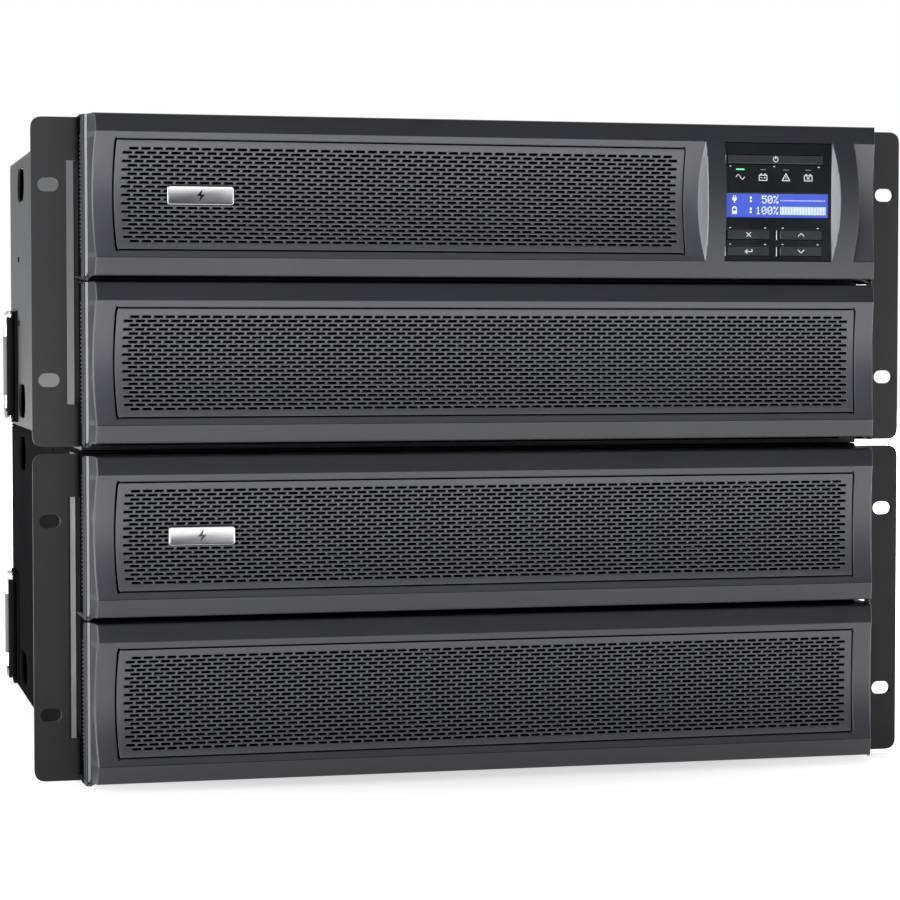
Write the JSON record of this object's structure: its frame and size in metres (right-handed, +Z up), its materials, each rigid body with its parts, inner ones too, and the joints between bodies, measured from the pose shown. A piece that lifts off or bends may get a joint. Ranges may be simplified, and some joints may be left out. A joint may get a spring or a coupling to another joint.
{
  "type": "rackmount ups",
  "caption": "Rack-mount power supply with display bezel, stacked on a matching battery pack; slotted ears, pull-off grille bezels, sliding battery trays and folding side handles.",
  "frame": {"origin": "middle of the underside of the lower chassis, at the centre of the bounding box in plan", "axes": "+X to the right seen from the front, +Y towards the rear panel, +Z up; the front bezels face -Y"},
  "size_m": [0.4826, 0.494, 0.3503],
  "materials": {
    "ups_coat": "fine matt powder coat",
    "pack_coat": "fine matt powder coat",
    "ear_coat": "satin powder coat",
    "bezel_plastic": "fine moulded grain",
    "grille_plastic": "fine moulded grain",
    "display_black": "gloss",
    "screen_blue": "lit screen",
    "circuit_green": "solder mask",
    "key_plastic": "satin",
    "zinc_steel": "zinc plated",
    "battery_case": "satin",
    "winding_steel": "varnished",
    "aluminium": "extruded",
    "fan_black": "satin",
    "socket_black": "satin",
    "chrome": "polished",
    "badge_silver": "satin"
  },
  "bodies": {
    "chassis_stack": {"ups_chassis": "ups_coat", "ups_top_cover": "ups_coat", "ups_front_frame": "ups_coat", "ups_shelf": "zinc_steel", "ups_left_ear": "ear_coat", "ups_right_ear": "ear_coat", "ups_left_handle_bracket": "pack_coat", "ups_right_handle_bracket": "pack_coat", "ups_rear_panel": "ups_coat", "pack_chassis": "pack_coat", "pack_top_cover": "pack_coat", "pack_front_frame": "pack_coat", "pack_shelf": "zinc_steel", "pack_left_ear": "ear_coat", "pack_right_ear": "ear_coat", "pack_left_handle_bracket": "pack_coat", "pack_right_handle_bracket": "pack_coat", "pack_rear_panel": "pack_coat", "main_board": "circuit_green", "transformer": "winding_steel", "heat_sink": "aluminium", "fan_frame": "fan_black", "outlet_bank": "socket_black", "power_inlet": "socket_black", "battery_lead_socket": "socket_black", "slot_cover": "zinc_steel", "pack_lead_socket": "socket_black"},
    "display_bezel": {"ups_display_bezel": "bezel_plastic", "ups_display_grille": "grille_plastic", "ups_badge": "badge_silver"},
    "display_module": {"display_housing": "display_black", "display_fascia": "display_black", "lcd_screen": "screen_blue", "display_board": "circuit_green"},
    "power_key": {"power_button": "key_plastic"},
    "escape_key": {"escape_button": "key_plastic"},
    "up_key": {"up_button": "key_plastic"},
    "enter_key": {"enter_button": "key_plastic"},
    "down_key": {"down_button": "key_plastic"},
    "ups_tray": {"ups_battery_tray": "zinc_steel", "ups_battery_block": "battery_case"},
    "ups_lower_bezel": {"ups_battery_bezel": "bezel_plastic", "ups_battery_grille": "grille_plastic"},
    "pack_high_tray": {"pack_upper_tray": "zinc_steel", "pack_upper_battery_block": "battery_case"},
    "pack_high_bezel": {"pack_upper_bezel": "bezel_plastic", "pack_upper_grille": "grille_plastic", "pack_badge": "badge_silver"},
    "pack_low_tray": {"pack_lower_tray": "zinc_steel", "pack_lower_battery_block": "battery_case"},
    "pack_low_bezel": {"pack_lower_bezel": "bezel_plastic", "pack_lower_grille": "grille_plastic"},
    "ups_left_bail": {"ups_left_handle": "chrome"},
    "ups_right_bail": {"ups_right_handle": "chrome"},
    "pack_left_bail": {"pack_left_handle": "chrome"},
    "pack_right_bail": {"pack_right_handle": "chrome"},
    "left_rotor": {"left_fan_rotor": "fan_black"},
    "right_rotor": {"right_fan_rotor": "fan_black"},
    "breaker_cap": {"breaker_button": "key_plastic"},
    "pack_rocker": {"pack_breaker_switch": "key_plastic"}
  },
  "joints": [
    {"name": "display_bezel_pull", "type": "slide", "parent": "chassis_stack", "child": "display_bezel", "axis": [0, -1, 0], "range_m": [0, 0.06]},
    {"name": "display_module_pull", "type": "slide", "parent": "display_bezel", "child": "display_module", "axis": [0, -1, 0], "range_m": [0, 0.022]},
    {"name": "power_press", "type": "slide", "parent": "display_module", "child": "power_key", "axis": [0, 1, 0], "range_m": [0, 0.001], "stiffness_N_per_m": 800},
    {"name": "escape_press", "type": "slide", "parent": "display_module", "child": "escape_key", "axis": [0, 1, 0], "range_m": [0, 0.001], "stiffness_N_per_m": 800},
    {"name": "up_press", "type": "slide", "parent": "display_module", "child": "up_key", "axis": [0, 1, 0], "range_m": [0, 0.001], "stiffness_N_per_m": 800},
    {"name": "enter_press", "type": "slide", "parent": "display_module", "child": "enter_key", "axis": [0, 1, 0], "range_m": [0, 0.001], "stiffness_N_per_m": 800},
    {"name": "down_press", "type": "slide", "parent": "display_module", "child": "down_key", "axis": [0, 1, 0], "range_m": [0, 0.001], "stiffness_N_per_m": 800},
    {"name": "ups_tray_slide", "type": "slide", "parent": "chassis_stack", "child": "ups_tray", "axis": [0, -1, 0], "range_m": [0, 0.4]},
    {"name": "ups_lower_bezel_pull", "type": "slide", "parent": "chassis_stack", "child": "ups_lower_bezel", "axis": [0, -1, 0], "range_m": [0, 0.5]},
    {"name": "pack_high_tray_slide", "type": "slide", "parent": "chassis_stack", "child": "pack_high_tray", "axis": [0, -1, 0], "range_m": [0, 0.4]},
    {"name": "pack_high_bezel_pull", "type": "slide", "parent": "chassis_stack", "child": "pack_high_bezel", "axis": [0, -1, 0], "range_m": [0, 0.5]},
    {"name": "pack_low_tray_slide", "type": "slide", "parent": "chassis_stack", "child": "pack_low_tray", "axis": [0, -1, 0], "range_m": [0, 0.4]},
    {"name": "pack_low_bezel_pull", "type": "slide", "parent": "chassis_stack", "child": "pack_low_bezel", "axis": [0, -1, 0], "range_m": [0, 0.5]},
    {"name": "ups_left_handle_fold", "type": "hinge", "parent": "chassis_stack", "child": "ups_left_bail", "pos_m": [-0.2201, 0.197, 0.2143], "axis": [0, 0, 1], "range_deg": [0, 90]},
    {"name": "ups_right_handle_fold", "type": "hinge", "parent": "chassis_stack", "child": "ups_right_bail", "pos_m": [0.2201, 0.197, 0.2143], "axis": [0, 0, -1], "range_deg": [0, 90]},
    {"name": "pack_left_handle_fold", "type": "hinge", "parent": "chassis_stack", "child": "pack_left_bail", "pos_m": [-0.2201, 0.197, 0.039], "axis": [0, 0, 1], "range_deg": [0, 90]},
    {"name": "pack_right_handle_fold", "type": "hinge", "parent": "chassis_stack", "child": "pack_right_bail", "pos_m": [0.2201, 0.197, 0.039], "axis": [0, 0, -1], "range_deg": [0, 90]},
    {"name": "left_fan_spin", "type": "hinge", "parent": "chassis_stack", "child": "left_rotor", "pos_m": [0.072, 0.232, 0.3063], "axis": [0, 1, 0], "continuous": true},
    {"name": "right_fan_spin", "type": "hinge", "parent": "chassis_stack", "child": "right_rotor", "pos_m": [0.158, 0.232, 0.3063], "axis": [0, 1, 0], "continuous": true},
    {"name": "breaker_press", "type": "slide", "parent": "chassis_stack", "child": "breaker_cap", "axis": [0, -1, 0], "range_m": [0, 0.0025], "stiffness_N_per_m": 800},
    {"name": "pack_switch_rock", "type": "hinge", "parent": "chassis_stack", "child": "pack_rocker", "pos_m": [0.09, 0.2315, 0.12], "axis": [1, 0, 0], "range_deg": [-12, 12]}
  ],
  "couplings": [
    {"joint": "ups_lower_bezel_pull", "follows": "ups_tray_slide", "ratio": 1.25},
    {"joint": "pack_high_bezel_pull", "follows": "pack_high_tray_slide", "ratio": 1.25},
    {"joint": "pack_low_bezel_pull", "follows": "pack_low_tray_slide", "ratio": 1.25}
  ]
}
